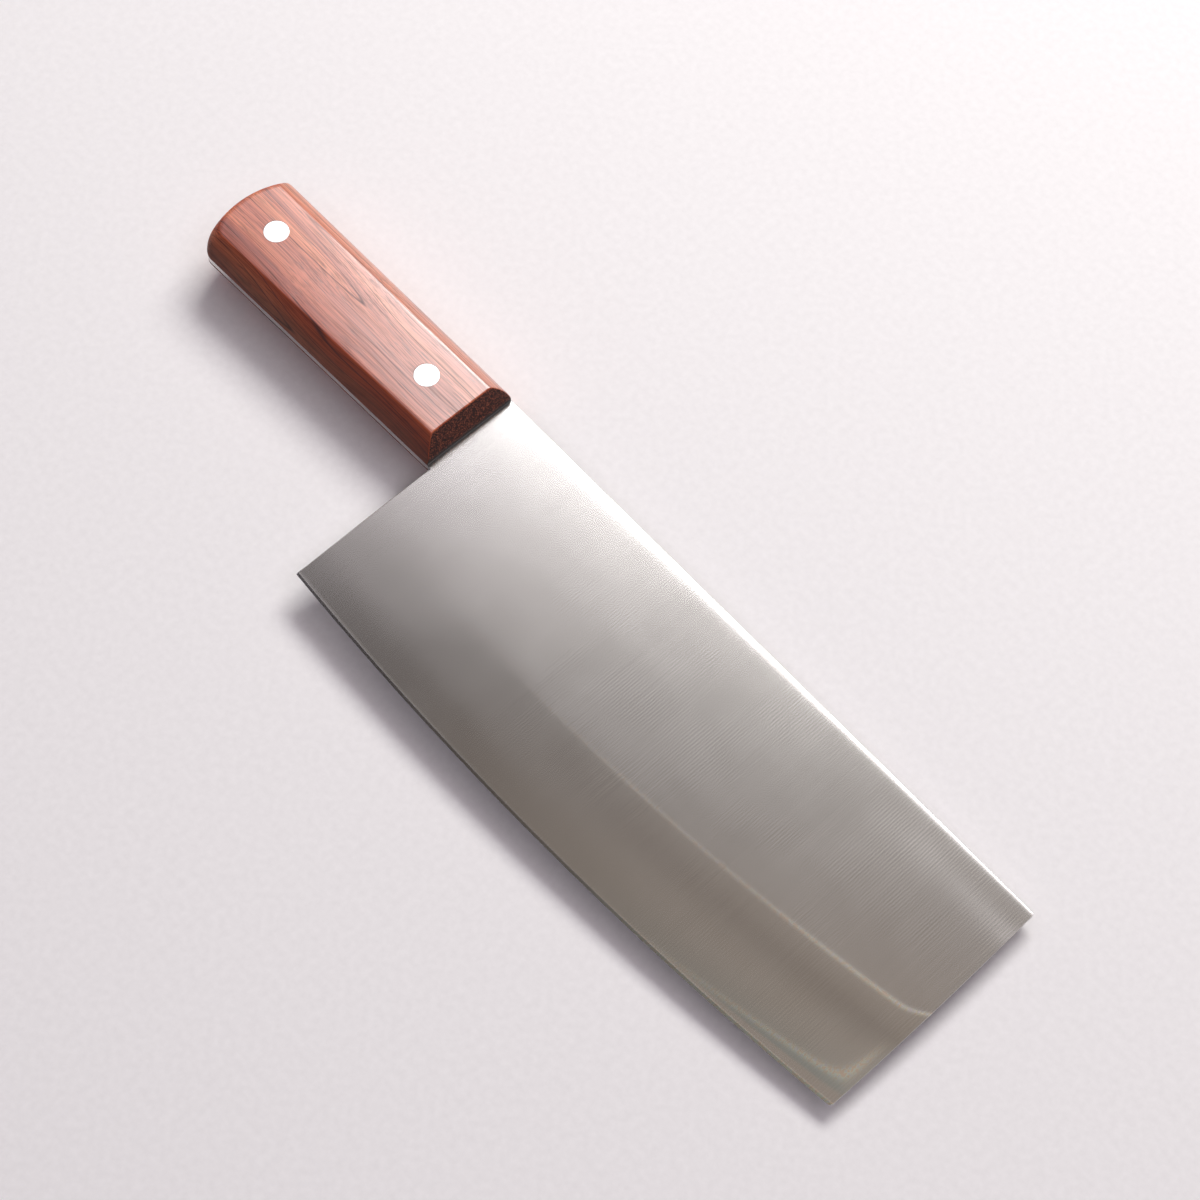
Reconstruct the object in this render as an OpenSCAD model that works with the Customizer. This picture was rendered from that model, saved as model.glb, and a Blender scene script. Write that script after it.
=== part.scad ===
// Chinese cleaver: a broad ground blade with a full tang, two wooden scales and
// two cutler's rivets. The knife lies flat, +X towards the tip, +Y towards the
// spine, +Z up through the thickness. The origin is the middle of the outline,
// on the face that the lower scale rests on. Millimetres.

/* [Blade] */
// Length of the blade, from the front of the handle to the middle of the front edge
blade_length = 220; // [180:1:240]
// Height of the blade from spine to the deepest point of the cutting edge
blade_height = 89; // [75:0.5:105]
// Thickness of the steel plate, as it is left under the scales
plate_thickness = 2.2; // [1.6:0.1:3]
// Depth that the satin finish takes off each face of the plate in front of the handle
finish_depth = 0.05; // [0.02:0.01:0.1]
// Radius of the long sweep of the cutting edge
edge_sweep_radius = 1140; // [900:10:1800]
// Distance from the front of the handle to the deepest point of the cutting edge
belly_position = 82; // [70:1:110]
// How far the middle of the front edge stands out beyond its corners
front_bow = 0.8; // [0.2:0.1:2]
// Distance of the heel in front of the handle
heel_offset = 1.5; // [1:0.1:3]
// Radius in the inner corner where the tang turns down into the heel
choil_radius = 1.5; // [0.8:0.1:3]
// Bevel on the corner between the spine and the front edge
tip_corner_bevel = 0.5; // [0.2:0.1:1.5]

/* [Grind] */
// Width of the ground band above the cutting edge, up to the flat of the blade
grind_width = 29; // [20:0.5:40]
// Width of the steeper part of the grind next to the cutting edge
shoulder_width = 10; // [6:0.5:14]
// Thickness of the steel at the top of that steeper part
shoulder_thickness = 1.3; // [0.9:0.05:1.5]
// Width of the honed bevel at the cutting edge
honed_width = 0.8; // [0.4:0.1:1.5]
// Thickness of the steel where the honed bevel starts
honed_thickness = 0.4; // [0.3:0.05:0.6]
// Thickness of the land that is left at the very edge
edge_land = 0.1; // [0.06:0.02:0.2]

/* [Handle] */
// Length of the handle from the front of the scales to the crown of the butt
handle_length = 107; // [95:1:125]
// Width of the handle at its front, measured down from the spine
handle_front_width = 34; // [30:0.5:38]
// How far the spine side of the handle falls in towards the butt
spine_side_fall = 1; // [0:0.1:2.5]
// How far the edge side of the handle swells out towards the butt
edge_side_swell = 3; // [0:0.1:5]
// Thickness of each wooden scale
scale_thickness = 10.2; // [8:0.1:14]
// How far the flat of a scale is set in from its spine side
spine_side_inset = 5.7; // [3:0.1:7]
// Radius of the round flank along the spine side
spine_flank_radius = 15; // [12:0.5:40]
// How far the flat of a scale is set in from its edge side
edge_side_inset = 4.9; // [3:0.1:7]
// Radius of the flatter flank along the edge side
edge_flank_radius = 37; // [15:0.5:60]
// Height of the upright land next to the tang, below the flanks
flank_foot = 0.8; // [0.4:0.1:2]

/* [Handle ends] */
// Radius of the butt seen from above
butt_radius = 34; // [28:0.5:60]
// Radius on the edge-side corner of the butt
butt_edge_corner = 5; // [2:0.5:8]
// Radius on the spine-side corner of the butt
butt_spine_corner = 1; // [0.6:0.1:4]
// How far the flat of a scale is set in from the butt
butt_inset = 3.4; // [2:0.1:6]
// Radius of the rounded flank round the butt
butt_flank_radius = 13; // [12:0.5:40]
// Height of the upright band at the front of each scale
front_band = 2.4; // [1:0.1:4]
// How far the front of a scale leans back above that band
front_lean = 3.2; // [1:0.1:6]

/* [Rivets] */
// Diameter of the rivet heads
rivet_head_d = 8; // [6:0.1:10]
// Thickness of the rivet heads
rivet_head_t = 2; // [1.2:0.1:3]
// Outer diameter of the hollow rivet half
socket_d = 5; // [4.2:0.1:5.6]
// Diameter of the solid rivet half, inside the hollow one
post_d = 3.4; // [2.4:0.1:3.6]
// Distance of the front rivet behind the front of the handle
front_rivet_position = 19; // [14:0.5:30]
// Distance between the two rivets
rivet_spacing = 69; // [50:0.5:72]
// Gap round each rivet half in its hole
rivet_clearance = 0.05; // [0.03:0.01:0.1]
// Room left past the end of each rivet shank
rivet_end_room = 0.6; // [0.3:0.1:1.5]
// How far the post reaches down the hollow half
post_reach = 14; // [8:0.5:15]

/* [Hidden] */
steel = [0.72, 0.71, 0.69];
wood = [0.56, 0.27, 0.19];
rivet_steel = [0.90, 0.90, 0.89];

half_plate = plate_thickness / 2;
flat_thickness = plate_thickness - 2 * finish_depth;
half_handle = half_plate + scale_thickness;
outline_middle = [(blade_length - handle_length) / 2, -blade_height / 2];
// Cutting bodies run past what they cut by overshoot. Rounded corners are drawn a
// hair larger than their radius, so that they cross the sides and leave no sliver.
overshoot = 1;
corner_lap = 0.01;

// The long sweep of the edge and the slight bow of the front edge are both arcs.
sweep_centre = [belly_position, edge_sweep_radius - blade_height];
front_radius = (pow(blade_height / 2, 2) + pow(front_bow, 2)) / (2 * front_bow);
front_centre = [blade_length - front_radius, -blade_height / 2];
long_arc_facets = 1080;
front_arc_facets = 720;
round_facets = 96;

// The two long sides of the handle outline, each from the front to the butt.
spine_side = [[0, 0], [-handle_length, -spine_side_fall]];
edge_side = [[0, -handle_front_width], [-handle_length, -handle_front_width - edge_side_swell]];
butt_middle = (spine_side[1][1] + edge_side[1][1]) / 2;
butt_centre = [butt_radius - handle_length, butt_middle];

// Each rivet sits in the middle of the handle's width.
rivet_xs = [-front_rivet_position, -front_rivet_position - rivet_spacing];
function side_point(side, x) = [x, side[0][1] + (side[1][1] - side[0][1]) * x / -handle_length];
function rivet_place(x) = [x, (side_point(spine_side, x)[1] + side_point(edge_side, x)[1]) / 2, 0];

function unit(v) = v / norm(v);

// Centre of the arc of radius r that bulges to the right of the way from p to q.
function arc_centre(p, q, r) =
    let (along = unit(q - p), left = [-along[1], along[0]])
    (p + q) / 2 + left * sqrt(pow(r, 2) - pow(norm(q - p) / 2, 2));

// Centre of a corner of radius r between a long side and the round butt.
// inward is 1 where the handle lies to the left of the side, and -1 to its right.
function corner_centre(side, inward, r) =
    let (
        along = unit(side[1] - side[0]),
        start = side[0] + inward * r * [-along[1], along[0]] - butt_centre,
        back = start * along
    )
    butt_centre + start + along * (sqrt(pow(back, 2) - start * start + pow(butt_radius - r, 2)) - back);

// Everything is drawn on the middle of the plate and set down on the lower scale.
module set_down() {
    translate([-outline_middle[0], -outline_middle[1], half_handle]) children();
}

// Rounds the corner where one long side meets the arc of the butt.
module corner_waste(side, inward, r) {
    along = unit(side[1] - side[0]);
    centre = corner_centre(side, inward, r);
    on_side = centre - inward * r * [-along[1], along[0]];
    on_butt = butt_centre + unit(centre - butt_centre) * butt_radius;
    outside = centre + 3 * r * unit(on_side + on_butt - 2 * centre);
    difference() {
        polygon([centre, on_side, outside, on_butt]);
        translate(centre) circle(r + corner_lap, $fn = round_facets);
    }
}

// Outline shared by the tang and both scales, so that they finish flush.
module handle_outline() {
    past_butt = -handle_length - overshoot;
    difference() {
        intersection() {
            polygon([
                spine_side[0],
                side_point(spine_side, past_butt),
                side_point(edge_side, past_butt),
                edge_side[0]
            ]);
            union() {
                translate(butt_centre) circle(butt_radius, $fn = 4 * round_facets);
                translate([butt_centre[0], -blade_height]) square([handle_length, 2 * blade_height]);
            }
        }
        corner_waste(spine_side, 1, butt_spine_corner);
        corner_waste(edge_side, -1, butt_edge_corner);
    }
}

// Section of the ground steel, from inside the spine out to the cutting edge.
// The distance from the centre of the sweep runs along X and the thickness along Y.
module grind_section() {
    steps = [
        [edge_sweep_radius - 1.5 * blade_height, flat_thickness],
        [edge_sweep_radius - grind_width, flat_thickness],
        [edge_sweep_radius - shoulder_width, shoulder_thickness],
        [edge_sweep_radius - honed_width, honed_thickness],
        [edge_sweep_radius, edge_land]
    ];
    upper = [for (s = steps) [s[0], s[1] / 2]];
    lower = [for (i = [len(steps) - 1:-1:0]) [steps[i][0], -steps[i][1] / 2]];
    polygon(concat(upper, lower));
}

// Square-cornered outline that the front bow and the ground sweep are cut from.
module blade_blank() {
    intersection() {
        difference() {
            translate([heel_offset, -blade_height - overshoot])
                square([blade_length - heel_offset, blade_height + overshoot]);
            translate([blade_length - front_bow, 0])
                rotate(45) square(tip_corner_bevel * sqrt(2), center = true);
        }
        translate(front_centre) circle(front_radius, $fn = front_arc_facets);
    }
}

module ground_blade() {
    intersection() {
        linear_extrude(plate_thickness, center = true) blade_blank();
        translate(sweep_centre) rotate_extrude($fn = long_arc_facets) grind_section();
    }
}

// The neck joins the tang to the heel, with a round inner corner below the handle.
module neck_outline() {
    corner = [heel_offset - choil_radius, -handle_front_width - choil_radius];
    polygon([
        side_point(spine_side, -overshoot),
        spine_side[0],
        [heel_offset + overshoot, 0],
        [heel_offset + overshoot, -handle_front_width],
        edge_side[0],
        side_point(edge_side, -overshoot)
    ]);
    difference() {
        translate(corner) square(choil_radius + overshoot / 2);
        translate(corner) circle(choil_radius + corner_lap, $fn = round_facets);
    }
}

module rivet_holes(d) {
    for (x = rivet_xs)
        translate(rivet_place(x))
            cylinder(h = 2 * half_handle + 2 * overshoot, d = d, center = true, $fn = round_facets);
}

module blade() {
    color(steel) set_down() {
        difference() {
            union() {
                ground_blade();
                linear_extrude(flat_thickness, center = true) neck_outline();
                linear_extrude(plate_thickness, center = true) handle_outline();
            }
            rivet_holes(socket_d + 2 * rivet_clearance);
        }
    }
}

// Cross-section that one flank allows, with the side of the tang at the origin,
// the scale's thickness along Y and the inside of the handle towards -X.
module flank_section(inset, r) {
    centre = arc_centre([0, flank_foot], [-inset, scale_thickness], r);
    translate(centre) circle(r, $fn = 4 * round_facets);
    translate([-2 * handle_front_width, -overshoot])
        square([2 * handle_front_width + centre[0], scale_thickness + 2 * overshoot]);
}

// The flank section drawn out along one long side. inward is as for corner_centre.
module flank(side, inset, r, inward) {
    angle = atan2(side[0][1] - side[1][1], handle_length);
    translate([side[0][0], side[0][1], 0])
        rotate(angle)
            translate([overshoot, 0, 0])
                rotate([90, 0, -90])
                    linear_extrude(1.2 * handle_length + overshoot)
                        mirror([inward > 0 ? 1 : 0, 0]) flank_section(inset, r);
}

// Side view of a scale: an upright band at the front, then a face that leans back.
module side_view() {
    polygon([
        [-handle_length - overshoot, 0],
        [0, 0],
        [0, front_band],
        [-front_lean, scale_thickness],
        [-handle_length - overshoot, scale_thickness]
    ]);
}

// Rounded crown of the butt, turned about the centre of the butt's arc.
module butt_crown() {
    translate(butt_centre) {
        rotate_extrude($fn = 4 * round_facets)
            intersection() {
                translate([butt_radius, 0]) flank_section(butt_inset, butt_flank_radius);
                square([butt_radius, scale_thickness]);
            }
        translate([0, -blade_height, 0]) cube([handle_length, 2 * blade_height, scale_thickness]);
    }
}

// One wooden scale, its inner face at z = 0 and its outer flat on top.
module scale_solid() {
    difference() {
        intersection() {
            linear_extrude(scale_thickness) handle_outline();
            translate([0, blade_height, 0])
                rotate([90, 0, 0]) linear_extrude(3 * blade_height) side_view();
            flank(spine_side, spine_side_inset, spine_flank_radius, 1);
            flank(edge_side, edge_side_inset, edge_flank_radius, -1);
            butt_crown();
        }
        rivet_holes(socket_d + 2 * rivet_clearance);
        for (x = rivet_xs)
            translate(rivet_place(x) + [0, 0, scale_thickness - rivet_head_t])
                cylinder(h = rivet_head_t + overshoot, d = rivet_head_d + 2 * rivet_clearance,
                    $fn = round_facets);
    }
}

module upper_scale() {
    color(wood) set_down() translate([0, 0, half_plate]) scale_solid();
}

module lower_scale() {
    color(wood) set_down() mirror([0, 0, 1]) translate([0, 0, half_plate]) scale_solid();
}

// Hollow half of a cutler's rivet, put in from below. Its head is ground flush.
module rivet_socket(x) {
    head_seat = rivet_head_t - half_handle;
    color(rivet_steel) set_down() translate(rivet_place(x)) {
        difference() {
            union() {
                translate([0, 0, -half_handle])
                    cylinder(h = rivet_head_t, d = rivet_head_d, $fn = round_facets);
                translate([0, 0, head_seat])
                    cylinder(h = -2 * head_seat - rivet_end_room, d = socket_d, $fn = round_facets);
            }
            translate([0, 0, -head_seat - post_reach - rivet_end_room])
                cylinder(h = post_reach + overshoot, d = post_d + 2 * rivet_clearance, $fn = round_facets);
        }
    }
}

// Solid half of a cutler's rivet, driven in from above until the scales are tight.
module rivet_post(x) {
    head_seat = half_handle - rivet_head_t;
    color(rivet_steel) set_down() translate(rivet_place(x)) {
        translate([0, 0, head_seat]) cylinder(h = rivet_head_t, d = rivet_head_d, $fn = round_facets);
        translate([0, 0, head_seat - post_reach]) cylinder(h = post_reach, d = post_d, $fn = round_facets);
    }
}

module front_rivet_socket() {
    rivet_socket(rivet_xs[0]);
}

module front_rivet_post() {
    rivet_post(rivet_xs[0]);
}

module rear_rivet_socket() {
    rivet_socket(rivet_xs[1]);
}

module rear_rivet_post() {
    rivet_post(rivet_xs[1]);
}

blade();
upper_scale();
lower_scale();
front_rivet_post();
front_rivet_socket();
rear_rivet_post();
rear_rivet_socket();
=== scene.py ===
# %% [markdown]
# # A Chinese cleaver
# The knife is one broad plate of steel that runs on as a full tang between two wooden
# scales, held by two cutler's rivets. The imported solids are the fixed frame: every piece
# made here takes its place from them. This first cell loads them and keeps their box.

# %% Load the frame
import bpy
import math
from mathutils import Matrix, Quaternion, Vector


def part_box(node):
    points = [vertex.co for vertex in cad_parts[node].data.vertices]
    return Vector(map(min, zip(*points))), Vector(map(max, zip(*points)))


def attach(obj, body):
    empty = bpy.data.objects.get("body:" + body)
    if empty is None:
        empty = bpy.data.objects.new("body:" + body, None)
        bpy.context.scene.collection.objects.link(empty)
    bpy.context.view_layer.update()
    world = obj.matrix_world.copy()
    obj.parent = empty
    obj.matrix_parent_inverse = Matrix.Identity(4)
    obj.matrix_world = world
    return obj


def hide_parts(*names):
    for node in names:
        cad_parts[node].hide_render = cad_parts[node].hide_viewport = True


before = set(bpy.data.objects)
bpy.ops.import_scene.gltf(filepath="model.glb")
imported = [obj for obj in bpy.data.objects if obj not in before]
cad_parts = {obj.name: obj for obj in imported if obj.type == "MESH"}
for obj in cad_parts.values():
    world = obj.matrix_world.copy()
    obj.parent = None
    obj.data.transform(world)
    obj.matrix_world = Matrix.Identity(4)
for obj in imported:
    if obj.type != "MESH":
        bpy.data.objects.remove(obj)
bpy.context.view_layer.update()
scene = bpy.context.scene
MM = 0.001

# %% [markdown]
# ## The camera
# The photograph looks down at the knife from the edge side, so that the tip points to the
# lower right. A camera is an aim point, a direction, a distance, a lens and a little roll.
# These few numbers come from asking for round rivet heads and a square blade.

# %% Camera
PHOTO_AZIMUTH = 42.58
PHOTO_ELEVATION = 64.65
PHOTO_ROLL = 5.32
PHOTO_DISTANCE = 0.7555
PHOTO_AIM = Vector((0.01044, 0.01951, 0.0113))
PHOTO_LENS = 77.14
SENSOR = 36


def direction(azimuth, elevation):
    """Unit vector from the knife towards azimuth and elevation, in degrees. Azimuth 0 is -Y."""
    a, e = math.radians(azimuth), math.radians(elevation)
    return Vector((math.sin(a) * math.cos(e), -math.cos(a) * math.cos(e), math.sin(e)))


camera_data = bpy.data.cameras.new("photo_camera")
camera_data.lens, camera_data.sensor_width = PHOTO_LENS, SENSOR
camera_data.clip_start, camera_data.clip_end = 0.01, 50
camera = bpy.data.objects.new("photo_camera", camera_data)
scene.collection.objects.link(camera)
towards_camera = direction(PHOTO_AZIMUTH, PHOTO_ELEVATION)
camera.location = PHOTO_AIM + towards_camera * PHOTO_DISTANCE
camera.rotation_mode = "QUATERNION"
roll = Quaternion((0, 0, 1), math.radians(PHOTO_ROLL))
camera.rotation_quaternion = (-towards_camera).to_track_quat("-Z", "Y") @ roll
scene.camera = camera
print("camera at", [round(v, 3) for v in camera.location])

# %% [markdown]
# ## Helpers for objects
# Operators act on whatever is selected, so each step starts by clearing the selection and
# making one object active. Vertices and faces are then picked in code, by their place.


# %% Select and finish
def only(obj):
    """Makes obj the only selected object, and the active one."""
    for other in bpy.context.selected_objects:
        other.select_set(False)
    obj.select_set(True)
    bpy.context.view_layer.objects.active = obj
    return obj


def pick(obj, test):
    """Selects the vertices whose place passes the test, with the edges and faces between."""
    mesh = obj.data
    chosen = [bool(test(v.co)) for v in mesh.vertices]
    mesh.vertices.foreach_set("select", chosen)
    mesh.edges.foreach_set("select", [all(chosen[i] for i in e.vertices) for e in mesh.edges])
    mesh.polygons.foreach_set("select", [all(chosen[i] for i in p.vertices) for p in mesh.polygons])
    return sum(chosen)


def edit(obj, *steps):
    """Runs operators on obj in edit mode. Each step is (operator, settings)."""
    only(obj)
    bpy.ops.object.mode_set(mode="EDIT")
    for operator, settings in steps:
        operator(**settings)
    bpy.ops.object.mode_set(mode="OBJECT")


EVERYTHING = (bpy.ops.mesh.select_all, {"action": "SELECT"})
MERGE_DISTANCE = 1e-7
ROUND_FACETS = 96


def apply_modifier(obj, kind, **settings):
    only(obj)
    modifier = obj.modifiers.new(kind.lower(), kind)
    for key, value in settings.items():
        setattr(modifier, key, value)
    bpy.ops.object.modifier_apply(modifier=modifier.name)


def carve(obj, tool, operation="DIFFERENCE"):
    """Cuts obj with the closed mesh tool, or joins them, and removes the tool."""
    apply_modifier(obj, "BOOLEAN", operation=operation, object=tool, solver="EXACT")
    bpy.data.objects.remove(tool)


def finish_surface(obj, degrees):
    """Turns all faces outwards and shades them smooth up to an angle."""
    edit(
        obj,
        EVERYTHING,
        (bpy.ops.mesh.remove_doubles, {"threshold": MERGE_DISTANCE}),
        (bpy.ops.mesh.normals_make_consistent, {"inside": False}),
    )
    bpy.ops.object.shade_smooth_by_angle(angle=math.radians(degrees))


def named(obj, name):
    obj.name = obj.data.name = name
    return obj


# %% [markdown]
# ## The sizes of the knife
# A knife maker's drawing gives lengths from the front of the handle and from the spine.
# The same numbers shape the solids, so what is made here lands on them. Only the places
# of the spine, the handle's front and the middle of the plate are read from the frame.

# %% Sizes
BLADE_LENGTH = 220 * MM
BLADE_HEIGHT = 89 * MM
PLATE = 2.2 * MM
FINISH_DEPTH = 0.05 * MM
FLAT = PLATE - 2 * FINISH_DEPTH
EDGE_SWEEP_RADIUS = 1140 * MM
BELLY_POSITION = 82 * MM
FRONT_BOW = 0.8 * MM
HEEL = 1.5 * MM
CHOIL_RADIUS = 1.5 * MM
TIP_BEVEL = 0.5 * MM
SHOULDER_WIDTH = 10 * MM
SHOULDER_THICKNESS = 1.3 * MM
HONED_WIDTH = 0.8 * MM
HONED_THICKNESS = 0.4 * MM
EDGE_LAND = 0.1 * MM
HANDLE_LENGTH = 107 * MM
HANDLE_WIDTH = 34 * MM
SPINE_SIDE_FALL = 1 * MM
EDGE_SIDE_SWELL = 3 * MM
SCALE = 10.2 * MM

blade_low, blade_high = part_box("blade")
mid_plane = (blade_low.z + blade_high.z) / 2
to_frame = Vector((blade_high.x - BLADE_LENGTH, blade_high.y, mid_plane))
print("handle front, spine and mid plane in mm:", [round(v / MM, 2) for v in to_frame])

# %% [markdown]
# ## The blade, step 1: a flat net
# The plate is ground thinner towards a long curved edge, and the line where that grind
# starts climbs towards the tip. A plain box with bevels couldn't follow those curves. So a
# grid is added and its rows are laid along them: close together where the surface turns,
# and wide apart on the flat. All points are in the knife's own coordinates for now, with
# x from the front of the handle and y from the spine.

# %% Curves of the blade
SWEEP_CENTRE = Vector((BELLY_POSITION, EDGE_SWEEP_RADIUS - BLADE_HEIGHT))
BOW_RADIUS = ((BLADE_HEIGHT / 2) ** 2 + FRONT_BOW**2) / (2 * FRONT_BOW)
RIDGE_RADIUS = 820 * MM
RIDGE_LOW = Vector((70 * MM, -59.4 * MM))
RIDGE_HOOK = 3 * MM
RIDGE_HOOK_START = 211 * MM
BOW_START = 176 * MM


def share_of(value, low, high):
    """0 at low, 1 at high, even between them and level beyond."""
    return min(max((value - low) / (high - low), 0), 1)


def towards_tip(x, start):
    """0 up to start and 1 at the front edge."""
    return share_of(x, start, BLADE_LENGTH)


def height_above_edge(x, y):
    return EDGE_SWEEP_RADIUS - math.hypot(x - SWEEP_CENTRE.x, y - SWEEP_CENTRE.y)


def row_y(x, height):
    """Where a column at x meets the arc that runs height above the edge."""
    return SWEEP_CENTRE.y - math.sqrt((EDGE_SWEEP_RADIUS - height) ** 2 - (x - SWEEP_CENTRE.x) ** 2)


def front_x(y):
    """The slightly bowed front edge, with its two corners taken off."""
    bow = BLADE_LENGTH - BOW_RADIUS + math.sqrt(BOW_RADIUS**2 - (y + BLADE_HEIGHT / 2) ** 2)
    above_edge = y - row_y(BLADE_LENGTH, 0)
    return bow - max(TIP_BEVEL + y, 0) - max(TIP_BEVEL - above_edge, 0)


def ridge_height(x):
    """Height above the edge at which the grind starts. It turns up just before the front."""
    y = RIDGE_LOW.y + RIDGE_RADIUS - math.sqrt(RIDGE_RADIUS**2 - (x - RIDGE_LOW.x) ** 2)
    return height_above_edge(x, y) + RIDGE_HOOK * towards_tip(x, RIDGE_HOOK_START) ** 2


# %% Rows and columns of the net
GRIND_ROWS = [0, 0.4, 0.8] + [1.3 + 0.55 * i for i in range(27)]
GRIND_ROWS += [16.5, 18.5, 20.5, 22.5, 24.5, 26]
RIDGE_ROWS = [-2.2, -1.5, -1, -0.6, -0.3, 0, 0.3, 0.6, 1, 1.5, 2.2, 3.5, 5.5, 8]
FLAT_ROWS = [-44, -40.5, -37.5, -35.5, -34, -31, -27, -23, -19, -15, -11.5, -8.5, -6, -4]
FLAT_ROWS += [-2.6, -1.7, -1.1, -0.7, -0.45, -0.22, 0]
COLUMNS = [1.5, 1.72, 2.6, 4, 6, 9] + [13 + 4.5 * i for i in range(31)]
COLUMNS += [151 + 2.5 * i for i in range(17)] + [192.5 + 0.9 * i for i in range(30)]
COLUMNS += [219.5, 219.92, 220]
ROW_COUNT = len(GRIND_ROWS) + len(RIDGE_ROWS) + len(FLAT_ROWS)
FLAT_FROM_HEEL = row_y(HEEL, ridge_height(HEEL) + RIDGE_ROWS[-1] * MM)


def net_y(x, row):
    """Rows follow the edge first, then the ridge, and the last ones share out the flat."""
    if row < len(GRIND_ROWS):
        return row_y(x, GRIND_ROWS[row] * MM)
    row -= len(GRIND_ROWS)
    y = row_y(x, ridge_height(x) + RIDGE_ROWS[min(row, len(RIDGE_ROWS) - 1)] * MM)
    row -= len(RIDGE_ROWS)
    return y if row < 0 else y * FLAT_ROWS[row] * MM / FLAT_FROM_HEEL


def net_point(column, row):
    """Place of a net point. The last columns bend with the front edge."""
    straight = x = COLUMNS[column] * MM
    share = towards_tip(straight, BOW_START)
    for _ in range(4):
        y = net_y(x, row)
        x = straight - share * (BLADE_LENGTH - front_x(y))
    return Vector((x, y, 0))


bpy.ops.mesh.primitive_grid_add(x_subdivisions=len(COLUMNS) - 1, y_subdivisions=ROW_COUNT - 1, size=2)
plate = named(only(bpy.context.active_object), "ground_blade")
for vertex in plate.data.vertices:
    column = round((vertex.co.x + 1) / 2 * (len(COLUMNS) - 1))
    row = round((vertex.co.y + 1) / 2 * (ROW_COUNT - 1))
    vertex.co = net_point(column, row)
print("blade net:", len(COLUMNS), "columns by", ROW_COUNT, "rows")

# %% [markdown]
# ## The blade, step 2: neck and choil
# The neck is pulled out of the heel by extruding the rows that lie in front of the handle,
# with a short prong that will end inside the tang. The round inner corner below it, the
# choil, is a vertex spun through a quarter turn, and one face fills the corner. Spinning
# gives an exact arc with evenly spaced points.

# %% Neck and choil
TINY = 1e-6
PRONG = 0.5 * MM
PRONG_TAPER = 0.97
choil_centre = Vector((HEEL - CHOIL_RADIUS, -HANDLE_WIDTH - CHOIL_RADIUS, 0))
pick(plate, lambda co: abs(co.x - HEEL) < TINY and co.y > -HANDLE_WIDTH - TINY)
edit(
    plate,
    (bpy.ops.mesh.select_mode, {"type": "EDGE"}),
    (bpy.ops.mesh.extrude_region_move, {"TRANSFORM_OT_translate": {"value": (-HEEL, 0, 0)}}),
)
pick(plate, lambda co: abs(co.x) < TINY)
edit(
    plate,
    (bpy.ops.mesh.extrude_region_move, {"TRANSFORM_OT_translate": {"value": (-PRONG, 0, 0)}}),
    (bpy.ops.transform.resize, {"value": (1, PRONG_TAPER, 1), "center_override": (0, -HANDLE_WIDTH / 2, 0)}),
)
pick(plate, lambda co: abs(co.x) < TINY and abs(co.y + HANDLE_WIDTH) < TINY)
edit(
    plate,
    (bpy.ops.mesh.select_mode, {"type": "VERT"}),
    (bpy.ops.mesh.spin, {"steps": 8, "angle": math.pi / 2, "center": choil_centre, "axis": (0, 0, 1)}),
    EVERYTHING,
    (bpy.ops.mesh.remove_doubles, {"threshold": TINY}),
)


def in_choil(co):
    on_arc = abs((co - choil_centre).length - CHOIL_RADIUS) < TINY and co.y > choil_centre.y - TINY
    return on_arc or (co - Vector((HEEL, -HANDLE_WIDTH, 0))).length < TINY


found = pick(plate, in_choil)
edit(plate, (bpy.ops.mesh.edge_face_add, {}))
print("choil filled from", found, "points, faces now", len(plate.data.polygons))

# %% [markdown]
# ## The blade, step 3: thickness
# The flat net is extruded into a closed slab and each point is set to the true thickness.
# Real grinding leaves no sharp folds, so the turns are softened, and three things are added
# that the polishing belt does: a low lip along the ridge, a roll-off round the lower corner
# of the tip, and an eased spine. Points on the outline drop a little, as a fine chamfer.

# %% Thickness of the steel
RIDGE_SOFTNESS = (11 * MM, 0.9 * MM)
RIDGE_CRISPENS = (30 * MM, 135 * MM)
SHOULDER_SOFTNESS = 3 * MM
LIP_HEIGHT, LIP_FROM = 0.002 * MM, 60 * MM
LIP_GROWTH, LIP_GROWS_FROM = 0.013 * MM, 140 * MM
LIP_WIDTH = 0.9 * MM
ROLL_FROM, ROLL_START = 130 * MM, 2 * MM
ROLL_SLOPE = 0.05
ROLL_SOFTNESS = 0.25 * MM
ROLL_FADE = (26 * MM, 12 * MM)
CORNER_CLIMB, CORNER_CLIMBS_FROM = 0.095, 160 * MM
CORNER_SHIFT = 0.4 * MM
SPINE_ROLL = (0.24 * MM, 0.07 * MM)
SPINE_ROLL_WIDTH = (1.0 * MM, 0.45 * MM)
SPINE_ROLL_BEGINS, SPINE_ROLL_NARROWS = 14 * MM, 60 * MM
SPINE_WASH, WASH_FROM = 0.13 * MM, 165 * MM
WASH_RISE = (-15 * MM, -6 * MM)
CHAMFER, CHAMFER_SHRINKS = 0.15 * MM, 110 * MM
FRONT_CHAMFER = 0.06 * MM
CHAMFER_LIMIT = 0.3
STEEP = (SHOULDER_THICKNESS - HONED_THICKNESS) / 2 / (SHOULDER_WIDTH - HONED_WIDTH)
GENTLE = (FLAT - SHOULDER_THICKNESS) / 2 / (ridge_height(BELLY_POSITION) - SHOULDER_WIDTH)


def soft_positive(value, softness):
    """0 well below zero and value well above it, with a smooth turn between."""
    return (value + math.hypot(value, softness)) / 2


def smooth(share):
    return share * share * (3 - 2 * share)


def hump(distance, width):
    """1 on a line, falling off to nearly 0 two widths away from it."""
    return math.exp(-((distance / width) ** 2))


def ridge_softness(x):
    """The ridge is worn round at the heel and crisp towards the tip."""
    share = share_of(x, *RIDGE_CRISPENS)
    return RIDGE_SOFTNESS[0] * (RIDGE_SOFTNESS[1] / RIDGE_SOFTNESS[0]) ** (share * (2 - share))


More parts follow.
